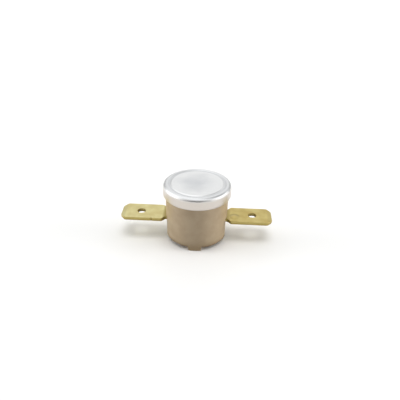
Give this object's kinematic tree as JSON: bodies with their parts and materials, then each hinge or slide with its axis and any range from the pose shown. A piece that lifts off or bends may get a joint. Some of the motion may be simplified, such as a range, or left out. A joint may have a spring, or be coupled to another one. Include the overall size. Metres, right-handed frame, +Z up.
{
  "type": "temperature limiter",
  "caption": "Round snap-disc thermal switch: aluminium sensing cap rolled under the flange of a tan moulded body, with a flat brass blade terminal on each side.",
  "frame": {"origin": "centre of the underside, on the foot of the barrier rib", "axes": "+Z up through the sensing face, +X along the right blade, -Y the side that the picture shows"},
  "size_m": [0.036, 0.016, 0.0142],
  "materials": {
    "body": "moulded tan thermoset, satin",
    "cap": "drawn and rolled sheet, bright",
    "guide": "moulded dark brown thermoset",
    "disc": "rolled bimetal strip",
    "pin": "fired, matte",
    "terminal": "stamped from rolled pale brass",
    "bracket": "bent from rolled strip",
    "contact": "silver alloy, headed",
    "spring": "rolled copper alloy spring strip",
    "rivet": "headed and rolled over"
  },
  "bodies": {
    "housing": {"switch_body": "body", "cap": "cap", "disc_guide": "guide", "bimetal_disc": "disc", "terminal_left": "terminal", "terminal_right": "terminal", "contact_bracket": "bracket", "fixed_contact": "contact", "clamp_washer": "bracket", "bracket_rivet": "rivet", "arm_rivet": "rivet"},
    "pin": {"transfer_pin": "pin"},
    "arm": {"contact_arm": "spring", "moving_contact": "contact"}
  },
  "joints": [
    {"name": "pin_slide", "type": "slide", "parent": "housing", "child": "pin", "axis": [0, 0, -1], "range_m": [0, 0.00035], "deforming": ["bimetal_disc"]},
    {"name": "arm_flex", "type": "hinge", "parent": "housing", "child": "arm", "pos_m": [0.00283, 0, 0.00948], "axis": [0, -1, 0], "range_deg": [0, 7.2], "stiffness_Nm_per_rad": 0.07, "springref_deg": -2.86, "deforming": ["contact_arm"]}
  ],
  "couplings": [
    {"joint": "arm_flex", "follows": "pin_slide", "rad_per_m": 353.36}
  ]
}
